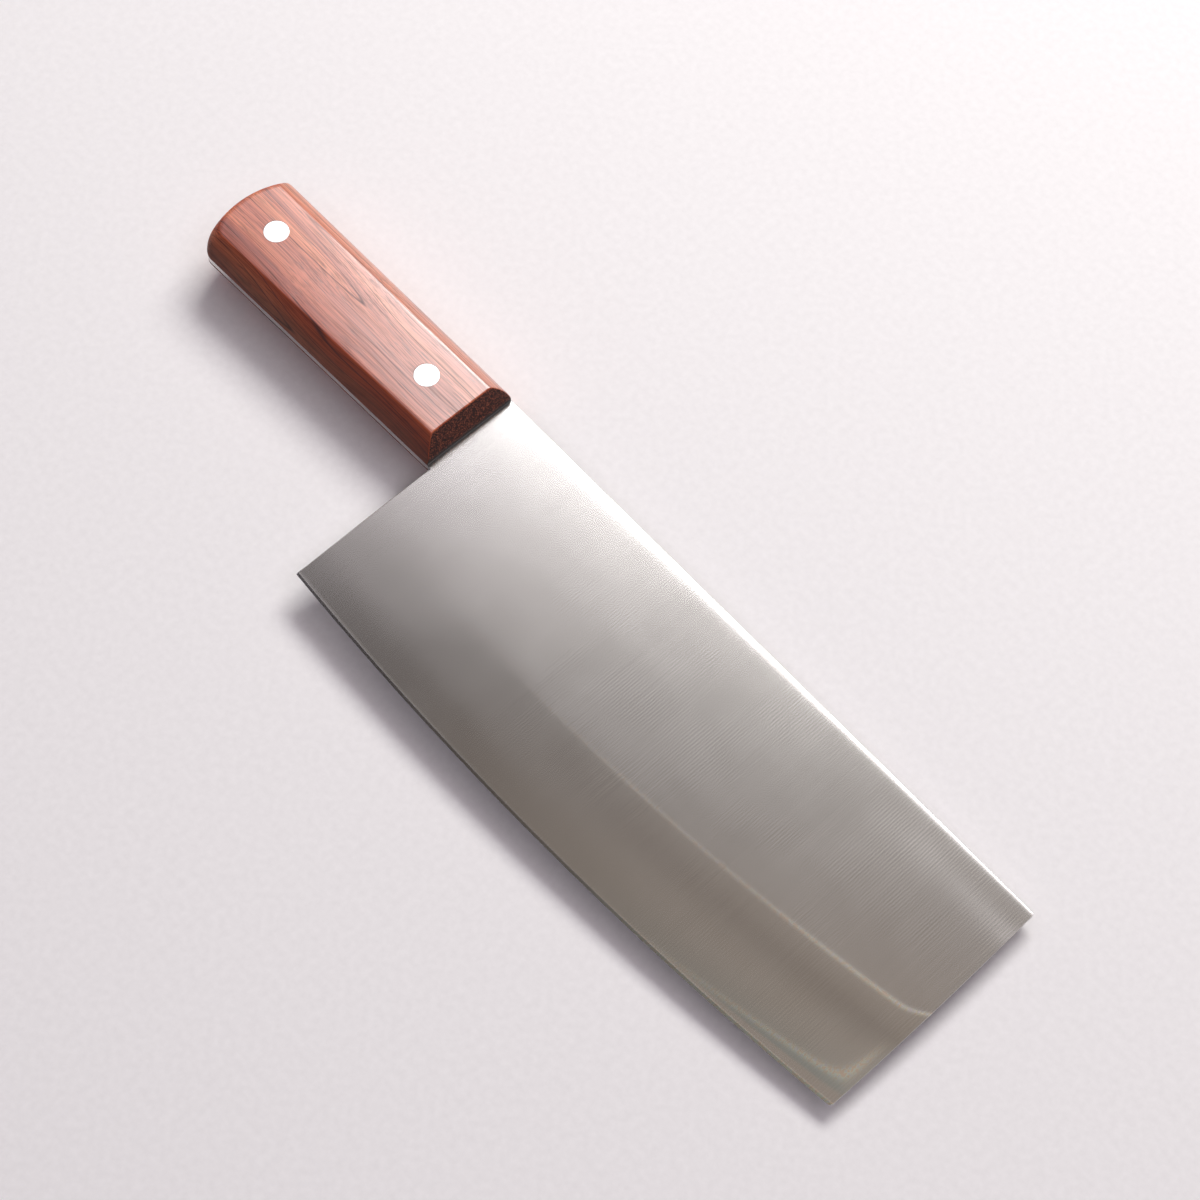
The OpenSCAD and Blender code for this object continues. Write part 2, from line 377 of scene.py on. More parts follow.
def corner_distance(x, y):
    """Small near the edge and the front edge, and smallest round the corner between them."""
    climb = CORNER_CLIMB * max(x - CORNER_CLIMBS_FROM, 0)
    from_edge = max(height_above_edge(x, y) + CORNER_SHIFT - climb, TINY)
    from_front = max(front_x(y) - x - CORNER_SHIFT, TINY)
    return 1 / (1 / from_edge + 1 / from_front)


def roll_fade(height):
    """1 near the edge and 0 above the roll-off."""
    return smooth(share_of(height, *ROLL_FADE))


def spine_roll(x, y):
    """The spine is eased by hand, more so near the handle, and ground a little low at the tip."""
    share = towards_tip(x, SPINE_ROLL_NARROWS)
    depth, width = (a + (b - a) * share for a, b in (SPINE_ROLL, SPINE_ROLL_WIDTH))
    wash = SPINE_WASH * smooth(share_of(y, *WASH_RISE)) * towards_tip(x, WASH_FROM)
    return min(x / SPINE_ROLL_BEGINS, 1) * depth * math.exp(y / width) + wash


def half_thickness(x, y):
    height = height_above_edge(x, y)
    if height < HONED_WIDTH - TINY:
        share = max(height, 0) / HONED_WIDTH
        return (EDGE_LAND + (HONED_THICKNESS - EDGE_LAND) * share) / 2
    above_ridge = height - ridge_height(x)
    upper = FLAT / 2 - GENTLE * soft_positive(-above_ridge, ridge_softness(x))
    lower = HONED_THICKNESS / 2 + STEEP * (height - HONED_WIDTH)
    half = upper - soft_positive(upper - lower, STEEP * SHOULDER_SOFTNESS)
    lip = LIP_HEIGHT * towards_tip(x, LIP_FROM) + LIP_GROWTH * towards_tip(x, LIP_GROWS_FROM)
    half += lip * hump(above_ridge, LIP_WIDTH)
    rolled = soft_positive(ROLL_START - corner_distance(x, y), ROLL_SOFTNESS)
    half -= ROLL_SLOPE * towards_tip(x, ROLL_FROM) * roll_fade(height) * rolled
    half -= spine_roll(x, y)
    return max(min(half, PLATE / 2), HONED_THICKNESS / 2)


def chamfer_at(x, y):
    """How far a point of the outline drops. It is 0 inside the outline and on the edge."""
    if front_x(y) - x < TINY:
        return FRONT_CHAMFER
    heel = x - HEEL
    if -HANDLE_WIDTH + TINY > y > choil_centre.y:
        heel = math.hypot(x - choil_centre.x, y - choil_centre.y) - CHOIL_RADIUS
    on_heel = y < -HANDLE_WIDTH + TINY and heel < TINY
    drop = CHAMFER + (FRONT_CHAMFER - CHAMFER) * towards_tip(x, CHAMFER_SHRINKS)
    return drop if y > -TINY or on_heel else 0


# %% Slab and chamfers
edit(
    plate,
    EVERYTHING,
    (bpy.ops.mesh.extrude_region_move, {"TRANSFORM_OT_translate": {"value": (0, 0, MM)}}),
)
for vertex in plate.data.vertices:
    x, y = vertex.co.x, vertex.co.y
    side = 1 if vertex.co.z > MM / 2 else -1
    half = half_thickness(x, y) if x > -TINY else FLAT / 3
    if x > -TINY:
        half -= min(chamfer_at(x, y), CHAMFER_LIMIT * half)
    vertex.co.z = side * half
finish_surface(plate, 30)
print("blade slab:", len(plate.data.vertices), "points")

# %% [markdown]
# ## The blade, step 4: tang
# The tang has the outline of the handle, and the scales are flush with it. It keeps the
# full gauge of the plate, because the satin grinding stops in front of the handle. The
# outline is worked out once, as straight sides with fillets into the round butt, because
# the scales are drawn in from the same line.

# %% Outline of the handle
BUTT_RADIUS = 34 * MM
SPINE_CORNER = 1 * MM
EDGE_CORNER = 5 * MM
SIDE_STEPS, BUTT_STEPS, BEND_STEPS = 20, 28, 6
SPINE_CORNER_STEPS, EDGE_CORNER_STEPS = 6, 12
spine_along = Vector((-HANDLE_LENGTH, -SPINE_SIDE_FALL)).normalized()
edge_along = Vector((-HANDLE_LENGTH, -EDGE_SIDE_SWELL)).normalized()
spine_in = Vector((-spine_along.y, spine_along.x))
edge_in = Vector((edge_along.y, -edge_along.x))
butt_middle = (-SPINE_SIDE_FALL - HANDLE_WIDTH - EDGE_SIDE_SWELL) / 2
butt_centre = Vector((BUTT_RADIUS - HANDLE_LENGTH, butt_middle))


def fillet_centre(start, along, inward, radius, r):
    """Centre of a fillet of radius r between a side and the inside of the butt's arc."""
    offset = start + inward * r - butt_centre
    back = offset.dot(along)
    reach = math.sqrt(back**2 - offset.length_squared + (radius - r) ** 2)
    return butt_centre + offset + along * (reach - back)


def arc(centre, radius, start, end, steps):
    """Points on an arc between two directions, the shorter way, without the last one."""
    first = math.atan2(start.y, start.x)
    turn = (math.atan2(end.y, end.x) - first + math.pi) % (2 * math.pi) - math.pi
    angles = [first + turn * i / steps for i in range(steps)]
    return [centre + radius * Vector((math.cos(a), math.sin(a))) for a in angles]


def line(start, end, steps):
    """Points on a line without the last one, closer together near both ends."""
    shares = [(1 - math.cos(math.pi * i / steps)) / 2 for i in range(steps)]
    return [start.lerp(end, s) for s in shares]


def bend(corner, before, after, size):
    """A small curve round a corner, or just the corner if size is 0."""
    if not size:
        return [corner]
    start = corner + (before - corner).normalized() * size
    end = corner + (after - corner).normalized() * size
    shares = [i / BEND_STEPS for i in range(BEND_STEPS + 1)]
    return [start.lerp(corner, s).lerp(corner.lerp(end, s), s) for s in shares]


def handle_outline(spine_inset=0, edge_inset=0, butt_inset=0, lean=0, front_corner=0):
    """Outline of the handle, drawn in by an inset on each side."""
    radius = BUTT_RADIUS - butt_inset
    spine_start = spine_in * spine_inset
    edge_start = Vector((0, -HANDLE_WIDTH)) + edge_in * edge_inset
    spine_front = spine_start + spine_along * (lean + spine_start.x) / -spine_along.x
    edge_front = edge_start + edge_along * (lean + edge_start.x) / -edge_along.x
    top = fillet_centre(spine_start, spine_along, spine_in, radius, SPINE_CORNER)
    low = fillet_centre(edge_start, edge_along, edge_in, radius, EDGE_CORNER)
    top_out, low_out = (top - butt_centre).normalized(), (low - butt_centre).normalized()
    top_end, low_end = top - spine_in * SPINE_CORNER, low - edge_in * EDGE_CORNER
    edge_bend = bend(edge_front, low_end, spine_front, front_corner)
    spine_bend = bend(spine_front, edge_front, top_end, front_corner)
    points = edge_bend[:-1] + line(edge_bend[-1], spine_bend[0], SIDE_STEPS)
    points += spine_bend[:-1] + line(spine_bend[-1], top_end, SIDE_STEPS)
    points += arc(top, SPINE_CORNER, -spine_in, top_out, SPINE_CORNER_STEPS)
    points += arc(butt_centre, radius, top_out, low_out, BUTT_STEPS)
    points += arc(low, EDGE_CORNER, low_out, -edge_in, EDGE_CORNER_STEPS)
    return points + line(low_end, edge_bend[0], SIDE_STEPS)


def add_outline_face(name, points):
    """A filled circle whose points are moved onto an outline."""
    bpy.ops.mesh.primitive_circle_add(vertices=len(points), radius=HANDLE_WIDTH, fill_type="NGON")
    face = named(only(bpy.context.active_object), name)
    for vertex, point in zip(face.data.vertices, points):
        vertex.co = point
    return face


# %% Tang and rivet holes
RIVET_PLACES = (-19 * MM, -88 * MM)
RIVET_HEAD_RADIUS = 4 * MM
RIVET_HEAD_THICKNESS = 2 * MM
SHANK_RADIUS = 2.5 * MM
POST_RADIUS = 1.7 * MM
RIVET_GAP = 0.05 * MM
HALF_HANDLE = PLATE / 2 + SCALE


def rivet_place(x):
    """The middle of the handle's width at x."""
    return Vector((x, (-HANDLE_WIDTH + (SPINE_SIDE_FALL + EDGE_SIDE_SWELL) * x / HANDLE_LENGTH) / 2, 0))


def add_pin(place, radius, low, high):
    """A round bar between two heights, used as a drill or as a rivet's blank."""
    middle = place + Vector((0, 0, (low + high) / 2))
    size = {"vertices": ROUND_FACETS, "radius": radius, "depth": high - low}
    bpy.ops.mesh.primitive_cylinder_add(**size, location=middle)
    return only(bpy.context.active_object)


tang = add_outline_face("tang", [p.to_3d() - Vector((0, 0, PLATE / 2)) for p in handle_outline()])
edit(
    tang,
    EVERYTHING,
    (bpy.ops.mesh.extrude_region_move, {"TRANSFORM_OT_translate": {"value": (0, 0, PLATE)}}),
)
finish_surface(tang, 5)
for x in RIVET_PLACES:
    carve(tang, add_pin(rivet_place(x), SHANK_RADIUS + RIVET_GAP, -PLATE, PLATE))
carve(plate, tang, "UNION")
finish_surface(plate, 5)
print("blade with tang:", len(plate.data.vertices), "points,", len(plate.data.polygons), "faces")

# %% [markdown]
# ## The wooden scales
# A cutler shapes each scale flush with the tang, rounds its flanks and leaves a flat on
# top. Here that is a stack of outlines: the lowest follows the tang, and each one above is
# extruded from it and drawn in by the flank at its height. The last few turn over onto the
# flat as sandpaper does. A box with bevels would give even flanks, but these differ.

# %% Flanks of a scale
FLANK_FOOT = 0.8 * MM
SPINE_FLANK = (5.7 * MM, 15 * MM)
EDGE_FLANK = (4.9 * MM, 37 * MM)
BUTT_FLANK = (3.4 * MM, 13 * MM)
FRONT_BAND = 2.4 * MM
FRONT_LEAN = 3.2 * MM
FRONT_CORNER = 0.5 * MM
ARRIS = 0.8 * MM
FRONT_ARRIS_SHARE = 0.5
LEVELS = [0, 0.4, 0.8, 1.4, 2, 2.4, 3, 3.8, 4.6, 5.4, 6.2, 7, 7.8, 8.6, 9.1]
ARRIS_SHARES = (0, 0.2, 0.4, 0.6, 0.8, 1)
TOP_RINGS = [0.5, 1.5, 3, 5, 7, 8]
TOP_CROWN = (0.08 * MM, 0.5 * MM)
TOP_HALF_WIDTH = 11.7 * MM


def flank_inset(height, flank):
    """How far a flank, an (inset, radius) pair, is drawn in at a height above the tang."""
    inset, radius = flank
    chord = Vector((-inset, SCALE - FLANK_FOOT))
    reach = math.sqrt(radius**2 - (chord.length / 2) ** 2)
    inward = Vector((-chord.y, chord.x)).normalized()
    centre = chord / 2 + inward * reach
    up = height - FLANK_FOOT - centre.y
    return max(0.0, -(centre.x + math.sqrt(radius**2 - up**2)))


def level_outline(height, draw_in=0):
    insets = [flank_inset(height, flank) + draw_in for flank in (SPINE_FLANK, EDGE_FLANK, BUTT_FLANK)]
    lean = FRONT_LEAN * max(height - FRONT_BAND, 0) / (SCALE - FRONT_BAND)
    outline = handle_outline(*insets, lean + draw_in * FRONT_ARRIS_SHARE, FRONT_CORNER)
    return [Vector((p.x, p.y, PLATE / 2 + height)) for p in outline]


def arris_outline(share):
    """A ring on the rounded arris, from the flank at share 0 to the flat at share 1."""
    rings = level_outline(SCALE - ARRIS), level_outline(SCALE), level_outline(SCALE, ARRIS)
    a, b, c = (1 - share) ** 2, 2 * share * (1 - share), share**2
    return [a * flank + b * arris + c * flat for flank, arris, flat in zip(*rings)]


def crown_drop(co):
    """The top is sanded to a slight crown towards both long sides, more so near the butt."""
    aside = abs(co.y - rivet_place(co.x).y) / TOP_HALF_WIDTH
    share = share_of(-co.x, 0, HANDLE_LENGTH)
    crown = TOP_CROWN[0] + (TOP_CROWN[1] - TOP_CROWN[0]) * share
    return crown * aside**3 * ((co.z - PLATE / 2) / SCALE) ** 4


# %% Extrude a scale ring by ring
def ring_above(mesh, ring):
    """The points that were just extruded, and are selected, in the order of the ring below."""
    above = {}
    for edge in mesh.edges:
        a, b = edge.vertices
        if mesh.vertices[a].select != mesh.vertices[b].select:
            lower, upper = (b, a) if mesh.vertices[a].select else (a, b)
            above[lower] = upper
    return [above[i] for i in ring]


rings = [level_outline(height * MM) for height in LEVELS]
rings += [arris_outline(share) for share in ARRIS_SHARES]
rings += [level_outline(SCALE, ARRIS + step * MM) for step in TOP_RINGS]
upper_scale = add_outline_face("upper_wooden_scale", rings[0])
ring = list(range(len(rings[0])))
pick(upper_scale, lambda co: True)
for points in rings[1:]:
    edit(upper_scale, (bpy.ops.mesh.extrude_region_move, {"TRANSFORM_OT_translate": {"value": (0, 0, MM)}}))
    ring = ring_above(upper_scale.data, ring)
    for index, point in zip(ring, points):
        upper_scale.data.vertices[index].co = point
for vertex in upper_scale.data.vertices:
    vertex.co.z -= crown_drop(vertex.co)
finish_surface(upper_scale, 20)
print("scale:", len(rings), "rings of", len(ring), "points")

# %% Drill the scale and mirror it
HEAD_SEAT = HALF_HANDLE - RIVET_HEAD_THICKNESS
for x in RIVET_PLACES:
    place = rivet_place(x)
    carve(upper_scale, add_pin(place, SHANK_RADIUS + RIVET_GAP, 0, HALF_HANDLE))
    carve(upper_scale, add_pin(place, RIVET_HEAD_RADIUS + RIVET_GAP, HEAD_SEAT, HALF_HANDLE + MM))
finish_surface(upper_scale, 20)

only(upper_scale)
bpy.ops.object.duplicate()
lower_scale = named(only(bpy.context.active_object), "lower_wooden_scale")
edit(
    lower_scale,
    EVERYTHING,
    (bpy.ops.transform.resize, {"value": (1, 1, -1), "center_override": (0, 0, 0)}),
)
finish_surface(lower_scale, 20)
heights = [v.co.z / MM for v in lower_scale.data.vertices]
print("lower scale from", round(min(heights), 2), "to", round(max(heights), 2), "mm")

# %% [markdown]
# ## The rivets
# A cutler's rivet has two halves. The hollow one goes in from below, and the solid one is
# driven down into it, so both heads end flush with the wood. A cylinder is the blank, its
# rim is chamfered, and the shank is extruded out of an inset in the seat. One half of
# each kind is made and copied, because the two rivets are the same.

# %% Rivet halves
RIVET_CHAMFER = 0.12 * MM
POST_REACH = 14 * MM
RIVET_END_ROOM = 0.6 * MM


def at_height(z):
    return lambda co: abs(co.z - z) < TINY


def rivet_half(name, shank_radius, shank_length):
    """A head flush with the top of the handle, and a shank below it."""
    half = named(add_pin(Vector(), RIVET_HEAD_RADIUS, HEAD_SEAT, HALF_HANDLE), name)
    bpy.ops.object.transform_apply(location=True, rotation=True, scale=True)
    pick(half, at_height(HALF_HANDLE))
    edit(half, (bpy.ops.mesh.bevel, {"offset": RIVET_CHAMFER, "segments": 2, "affect": "EDGES"}))
    pick(half, at_height(HEAD_SEAT))
    edit(
        half,
        (bpy.ops.mesh.inset, {"thickness": RIVET_HEAD_RADIUS - shank_radius}),
        (bpy.ops.mesh.extrude_region_move, {"TRANSFORM_OT_translate": {"value": (0, 0, -shank_length)}}),
    )
    return half


solid_half = rivet_half("solid_half", POST_RADIUS, POST_REACH)
finish_surface(solid_half, 12)

hollow_half = rivet_half("hollow_half", SHANK_RADIUS, 2 * HEAD_SEAT - RIVET_END_ROOM)
edit(
    hollow_half,
    (bpy.ops.mesh.inset, {"thickness": SHANK_RADIUS - POST_RADIUS - RIVET_GAP}),
    (bpy.ops.mesh.extrude_region_move, {"TRANSFORM_OT_translate": {"value": (0, 0, POST_REACH)}}),
    EVERYTHING,
    (bpy.ops.transform.resize, {"value": (1, 1, -1), "center_override": (0, 0, 0)}),
)
finish_surface(hollow_half, 12)


# %% Seat the rivets
def seat_rivet(half, x, name):
    """Copies a half to its place in the handle, with a mesh of its own."""
    only(half)
    bpy.ops.object.duplicate()
    copy = named(only(bpy.context.active_object), name)
    edit(copy, EVERYTHING, (bpy.ops.transform.translate, {"value": rivet_place(x)}))
    return copy


rivets = {}
for node, x in (("front_rivet", RIVET_PLACES[0]), ("rear_rivet", RIVET_PLACES[1])):
    rivets[node + "_post"] = seat_rivet(solid_half, x, node + "_solid_half")
    rivets[node + "_socket"] = seat_rivet(hollow_half, x, node + "_hollow_half")
bpy.data.objects.remove(solid_half)
bpy.data.objects.remove(hollow_half)
print("rivet halves:", {node: len(half.data.vertices) for node, half in rivets.items()})

# %% [markdown]
# ## Into the frame
# So far the pieces stand in the knife's own coordinates. Moving every mesh by the same
# step puts them where the solids are, and leaves each object at the origin. Then each
# piece rides on the one body, and stands in for its solid.

# %% Move, ride and replace
pieces = {"blade": plate, "upper_scale": upper_scale, "lower_scale": lower_scale, **rivets}


def corners(piece):
    places = [v.co for v in piece.data.vertices]
    return [[end(p[i] for p in places) for i in range(3)] for end in (min, max)]


for node, piece in pieces.items():
    edit(piece, EVERYTHING, (bpy.ops.transform.translate, {"value": to_frame}))
    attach(piece, "root")
    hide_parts(node)
    gaps = [abs(a - b) for own, cad in zip(corners(piece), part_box(node)) for a, b in zip(own, cad)]
    print(f"{piece.name}: box within {max(gaps) / MM:.3f} mm of the solid")

# %% [markdown]
# ## Helpers for materials
# A material is a small program drawn as nodes. These helpers add a node, link a socket,
# or do one sum, so that the cells below read like a recipe.


# %% Node helpers
def feed(tree, node, key, value):
    """Links a socket to an input, or sets the input to a number, a vector or a colour."""
    socket = node.inputs[key]
    if isinstance(value, bpy.types.NodeSocket):
        tree.links.new(value, socket)
    elif socket.type == "RGBA":
        socket.default_value = (*value, 1) if isinstance(value, tuple) else (value, value, value, 1)
    else:
        socket.default_value = value


def add(tree, kind, inputs=None, **settings):
    """Adds a node. settings set the node itself, inputs set or link its sockets."""
    node = tree.nodes.new(kind)
    for key, value in settings.items():
        setattr(node, key, value)
    for key, value in (inputs or {}).items():
        feed(tree, node, key, value)
    return node


def sums(tree, operation, *operands, clamp=False):
    inputs = dict(enumerate(operands))
    return add(tree, "ShaderNodeMath", inputs, operation=operation, use_clamp=clamp).outputs[0]


def vectors(tree, operation, first, second):
    return add(tree, "ShaderNodeVectorMath", {0: first, 1: second}, operation=operation).outputs[0]


def ramp(tree, value, *stops):
    """A Color Ramp. Each stop is (position, colour) or (position, grey)."""
    node = add(tree, "ShaderNodeValToRGB", {"Fac": value})
    elements = node.color_ramp.elements
    while len(elements) < len(stops):
        elements.new(0.5)
    for element, (position, colour) in zip(elements, stops):
        element.position = position
        element.color = (*colour, 1) if isinstance(colour, tuple) else (colour, colour, colour, 1)
    return node.outputs["Color"]


def fade(tree, value, low, high, first=0.0, last=1.0):
    """first below low, last above high, and a smooth step between."""
    inputs = {"Value": value, "From Min": low, "From Max": high, "To Min": first, "To Max": last}
    return add(tree, "ShaderNodeMapRange", inputs, interpolation_type="SMOOTHSTEP").outputs[0]


def mix(tree, kind, factor, first, second):
    node = add(tree, "ShaderNodeMix", data_type="RGBA", blend_type=kind)
    for index, value in ((0, factor), (6, first), (7, second)):
        feed(tree, node, index, value)
    return node.outputs[2]


def noise(tree, vector, scale, detail=2.0, roughness=0.5, distortion=0.0):
    """Noise whose features are 1 / scale metres long on each axis."""
    place = vectors(tree, "MULTIPLY", vector, scale)
    inputs = {"Vector": place, "Scale": 1.0, "Detail": detail, "Roughness": roughness}
    return add(tree, "ShaderNodeTexNoise", {**inputs, "Distortion": distortion}).outputs["Fac"]


def new_group(name, inputs, outputs):
    """A shader node group. inputs are (name, type, default), outputs are (name, type)."""
    tree = bpy.data.node_groups.new(name, "ShaderNodeTree")
    for label, kind, default in inputs:
        socket = tree.interface.new_socket(label, in_out="INPUT", socket_type=kind)
        if default is not None:
            socket.default_value = default
    for label, kind in outputs:
        tree.interface.new_socket(label, in_out="OUTPUT", socket_type=kind)
    return tree, add(tree, "NodeGroupInput").outputs, add(tree, "NodeGroupOutput")


def use_group(tree, group, inputs):
    return add(tree, "ShaderNodeGroup", inputs, node_tree=group).outputs


def surface_material(name, attributes=()):
    """A Principled BSDF in a new material, with object coordinates and mesh attributes."""
    material = bpy.data.materials.new(name)
    material.use_nodes = True
    tree = material.node_tree
    tree.nodes.clear()
    shader = add(tree, "ShaderNodeBsdfPrincipled")
    add(tree, "ShaderNodeOutputMaterial", {"Surface": shader.outputs[0]})
    place = add(tree, "ShaderNodeTexCoord").outputs["Object"]
    masks = [add(tree, "ShaderNodeAttribute", attribute_name=a).outputs["Fac"] for a in attributes]
    return material, tree, shader, place, masks


# %% [markdown]
# ## Shared effects
# Two things show on steel and on rivets alike, so they are node groups. A grinding belt
# leaves fine scratches, long one way and narrow the other, and regular passes that waver
# and come and go in patches. Smudges from handling only change how rough a surface is.
# The wood uses the smudges too.

# %% Belt lines and smudges
belt_lines, start, end = new_group(
    "belt_lines",
    [
        ("Vector", "NodeSocketVector", None),
        ("Across", "NodeSocketFloat", 0.0),
        ("Clear", "NodeSocketFloat", 1.0),
        ("Pitch", "NodeSocketFloat", 0.00092),
        ("Fine", "NodeSocketVector", (2400, 30, 2400)),
        ("Coarse", "NodeSocketVector", (260, 40, 260)),
    ],
    [("Height", "NodeSocketFloat"), ("Streaks", "NodeSocketFloat")],
)
WAVER = 6.0
PATCH_DEPTH = (0.05, 0.19)
fine = noise(belt_lines, start["Vector"], start["Fine"], 1, 0.5)
coarse = noise(belt_lines, start["Vector"], start["Coarse"], 2, 0.5)
passes = sums(belt_lines, "DIVIDE", start["Across"], start["Pitch"])
turns = sums(belt_lines, "MULTIPLY", passes, 2 * math.pi)
swing = sums(belt_lines, "SINE", sums(belt_lines, "MULTIPLY_ADD", coarse, WAVER, turns))
patches = noise(belt_lines, start["Vector"], (50, 60, 50), 2)
depth = sums(belt_lines, "MULTIPLY", fade(belt_lines, patches, 0.38, 0.62, *PATCH_DEPTH), start["Clear"])
swing = sums(belt_lines, "MULTIPLY", swing, depth)
streaks = sums(belt_lines, "ADD", sums(belt_lines, "MULTIPLY_ADD", fine, 0.3, 0.35), swing)
feed(belt_lines, end, "Height", fine)
feed(belt_lines, end, "Streaks", streaks)

smudges, start, end = new_group(
    "smudges",
    [("Vector", "NodeSocketVector", None), ("Size", "NodeSocketVector", (45, 45, 45))],
    [("Smudge", "NodeSocketFloat")],
)
cloud = noise(smudges, start["Vector"], start["Size"], 4, 0.55, 0.6)
feed(smudges, end, "Smudge", fade(smudges, cloud, 0.35, 0.68))

# %% [markdown]
# ## Satin steel
# The plate is satin from belt lines that run from spine to edge. They change its tone and
# roughness a little, and show best away from the handle and the edge. The plate isn't
# quite level either, so a bump of long, shallow waves bends what it mirrors. A painted
# highlight lies along the ridge, round the rolled corner and on the honed edge near the
# tip, and a strip below the ridge is painted a darker tone; these places are stored on the
# mesh and read as masks. The front face of the plate is painted dark, as painted shade.

# %% Masks on the blade
GLINT_WIDTH = 0.8 * MM
GLINT_RISE, GLINT_LEAST = (60 * MM, 120 * MM), 0.35
GLINT_GROWS_FROM = 150 * MM
DARK_STRIP_BELOW, DARK_STRIP_WIDTH = 9 * MM, 6 * MM
DARK_STRIP_FROM = 90 * MM


def write_mask(obj, name, value_at):
    """Stores value_at(x, y) on every point, with places in the knife's coordinates."""
    layer = obj.data.attributes.new(name, "FLOAT", "POINT")
    places = [v.co - to_frame for v in obj.data.vertices]
    layer.data.foreach_set("value", [value_at(p.x, p.y) if p.x > HEEL else 0.0 for p in places])


# Where a highlight is painted along the ridge, stronger towards the tip.
def ridge_highlight_mask(x, y):
    away = height_above_edge(x, y) - ridge_height(x)
    growth = GLINT_LEAST + (1 - GLINT_LEAST) * towards_tip(x, GLINT_GROWS_FROM)
    return share_of(x, *GLINT_RISE) * growth * hump(away, GLINT_WIDTH)


def roll_highlight_mask(x, y):
    """Where a highlight is painted: the rolled corner, and the honed edge more and more towards the tip."""
    height = height_above_edge(x, y)
    if height < HONED_WIDTH + TINY:
        return towards_tip(x, ROLL_FROM) ** 0.5
    strength = towards_tip(x, GLINT_GROWS_FROM) ** 0.7 * roll_fade(height)
    return strength * hump(corner_distance(x, y) - ROLL_START, GLINT_WIDTH)


def dark_strip_mask(x, y):
    """A strip below the ridge whose colour is painted darker."""
    away = height_above_edge(x, y) - ridge_height(x) + DARK_STRIP_BELOW
    return towards_tip(x, DARK_STRIP_FROM) ** 0.6 * hump(away, DARK_STRIP_WIDTH)


write_mask(plate, "ridge", ridge_highlight_mask)
write_mask(plate, "roll", roll_highlight_mask)
write_mask(plate, "dark_strip", dark_strip_mask)

# %% Steel
LINES_ALONG = [to_frame.x + x * MM for x in (25, 95)]
LINES_ASIDE = [to_frame.y + y * MM for y in (-62, -35)]
STEEL_DARK, STEEL_LIGHT = (0.56, 0.548, 0.536), (0.72, 0.705, 0.69)
# Painted colours: a darker tone for the strip below the ridge, a painted highlight tone, and painted shade
# for the front face.
DARK_STRIP_TONE, PAINTED_GLINT, FRONT_FACE_SHADE = (0.8, 0.79, 0.79), (1.0, 0.95, 0.87), (0.22, 0.2, 0.19)

steel, tree, shader, place, (ridge, rolled, dark_strip) = surface_material(
    "satin_blade_steel", ("ridge", "roll", "dark_strip")
)
along, aside, _ = add(tree, "ShaderNodeSeparateXYZ", {0: place}).outputs
clear = sums(tree, "MULTIPLY", fade(tree, along, *LINES_ALONG), fade(tree, aside, *LINES_ASIDE, 0.5))
lines = use_group(tree, belt_lines, {"Vector": place, "Across": along, "Clear": clear})
smudge = use_group(tree, smudges, {"Vector": place, "Size": (28, 42, 28)})["Smudge"]
# Painted highlight: the ridge, the rolled corner and the honed edge are painted a lighter warm tone with
# rainbow speckle.
painted_glint = sums(tree, "ADD", ridge, rolled, clamp=True)
tone = ramp(tree, lines["Streaks"], (0.1, STEEL_DARK), (0.9, STEEL_LIGHT))
# A darker tone is painted in the strip below the ridge.
tone = mix(tree, "MULTIPLY", dark_strip, tone, DARK_STRIP_TONE)
speckle = noise(tree, place, (1500, 900, 1500), 1)
rainbow = ramp(
    tree, speckle, (0.36, (1.0, 0.62, 0.36)), (0.47, (1.0, 0.95, 0.7)),
    (0.55, (0.75, 1.0, 0.85)), (0.64, (0.8, 0.8, 1.0)),
)
painted_glint_tone = mix(tree, "MIX", 0.5, PAINTED_GLINT, rainbow)
tone = mix(tree, "MIX", sums(tree, "MULTIPLY", painted_glint, 0.6), tone, painted_glint_tone)
normal = add(tree, "ShaderNodeNewGeometry").outputs["Normal"]
forwards = add(tree, "ShaderNodeSeparateXYZ", {0: normal}).outputs["X"]
# Painted shade: faces that point forwards, the front face of the plate, are painted dark.
feed(tree, shader, "Base Color", mix(tree, "MIX", fade(tree, forwards, 0.6, 0.9), tone, FRONT_FACE_SHADE))
shader.inputs["Metallic"].default_value = 1.0
rough = sums(tree, "MULTIPLY_ADD", smudge, 0.008, 0.178)
rough = sums(tree, "MULTIPLY_ADD", lines["Streaks"], 0.016, rough)
feed(tree, shader, "Roughness", sums(tree, "MULTIPLY_ADD", painted_glint, 0.03, rough))
waves = noise(tree, place, (22, 30, 22), 2)
bump = add(tree, "ShaderNodeBump", {"Strength": 1.0, "Distance": 0.000036, "Height": waves})
feed(tree, shader, "Normal", bump.outputs["Normal"])
plate.data.materials.append(steel)
print("steel nodes:", len(tree.nodes))

# %% [markdown]
# ## Oiled wood
# The wood is a reddish brown tropical one with dark streaks along the grain. Noise
# stretched along the handle gives fibres, streaks and pores, and because it is a solid
# pattern, the front face shows them end on, as the darker speckle of real end grain. Oil
# lies on the top and the spine flank as a sheen, thinner where the grain is open and
# towards the butt. Light and shade are painted into the colour as well: the spine flank is
# painted lighter, the edge flank is painted darker, most of all next to the plate, and the
# foot of the front face, where it meets the plate, is painted near black.

